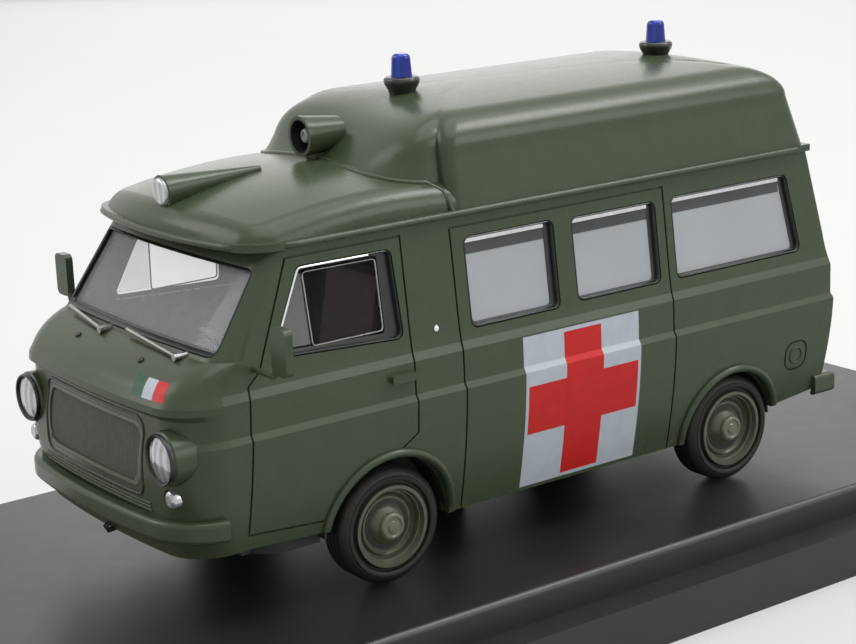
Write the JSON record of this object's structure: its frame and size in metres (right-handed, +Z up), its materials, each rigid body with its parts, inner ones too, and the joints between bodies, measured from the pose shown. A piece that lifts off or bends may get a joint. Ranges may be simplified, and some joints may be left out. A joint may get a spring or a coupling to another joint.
{
  "type": "scale model of a military ambulance van",
  "caption": "Display model of an olive ambulance van with a raised roof, beacons, siren horn and turning wheels, screwed to a black plinth.",
  "frame": {"origin": "centre of the plinth's underside", "axes": "+Y to the van's tail along the plinth, +X to the van's left, +Z up"},
  "size_m": [0.0816, 0.1794, 0.0707],
  "materials": {
    "plinth_black": "satin black",
    "bright_steel": "bright steel",
    "underside_black": "matt black",
    "olive_paint": "semi-gloss olive drab",
    "inside_grey": "matt grey",
    "seat_brown": "matt red-brown",
    "dash_grey": "matt grey",
    "dark_plastic": "satin black",
    "clear_pane": "clear",
    "milky_pane": "milky",
    "grille_olive": "dark olive",
    "lamp_lens": "bright lens",
    "red_lens": "red lens",
    "bright_trim": "bright",
    "mirror_grey": "olive back, bright face",
    "blue_lens": "blue lens",
    "olive_rim": "semi-gloss olive drab",
    "tyre_rubber": "matt rubber"
  },
  "bodies": {
    "van": {"plinth": "plinth_black", "mounting_screws": "bright_steel", "chassis_base": "underside_black", "body_casting": "olive_paint", "raised_roof": "olive_paint", "interior_tub": "inside_grey", "cab_seats": "seat_brown", "dashboard": "dash_grey", "steering_wheel": "dark_plastic", "windscreen": "clear_pane", "door_glazing_left": "clear_pane", "door_glazing_right": "clear_pane", "side_glazing_left": "milky_pane", "side_glazing_right": "milky_pane", "rear_glazing": "milky_pane", "grille": "grille_olive", "front_bumper": "olive_paint", "rear_bumper": "olive_paint", "headlamp_bezels": "olive_paint", "headlamp_lenses": "lamp_lens", "marker_lamps": "lamp_lens", "tail_lamps": "red_lens", "door_handles": "bright_trim", "wipers": "bright_trim", "mirror_left": "mirror_grey", "mirror_right": "mirror_grey", "beacon_base_front": "dark_plastic", "beacon_base_rear": "dark_plastic", "beacon_lens_front": "blue_lens", "beacon_lens_rear": "blue_lens", "siren_horn": "olive_paint", "siren_cone": "bright_trim", "spotlight_fairing": "olive_paint", "spotlight_lens": "lamp_lens"},
    "front_wheels": {"front_axle": "bright_steel", "front_rims": "olive_rim", "front_tyres": "tyre_rubber"},
    "rear_wheels": {"rear_axle": "bright_steel", "rear_rims": "olive_rim", "rear_tyres": "tyre_rubber"}
  },
  "joints": [
    {"name": "front_axle_turn", "type": "hinge", "parent": "van", "child": "front_wheels", "pos_m": [0.0042, -0.0223, 0.01785], "axis": [1, 0, 0], "continuous": true},
    {"name": "rear_axle_turn", "type": "hinge", "parent": "van", "child": "rear_wheels", "pos_m": [0.0042, 0.0335, 0.01785], "axis": [1, 0, 0], "continuous": true}
  ]
}
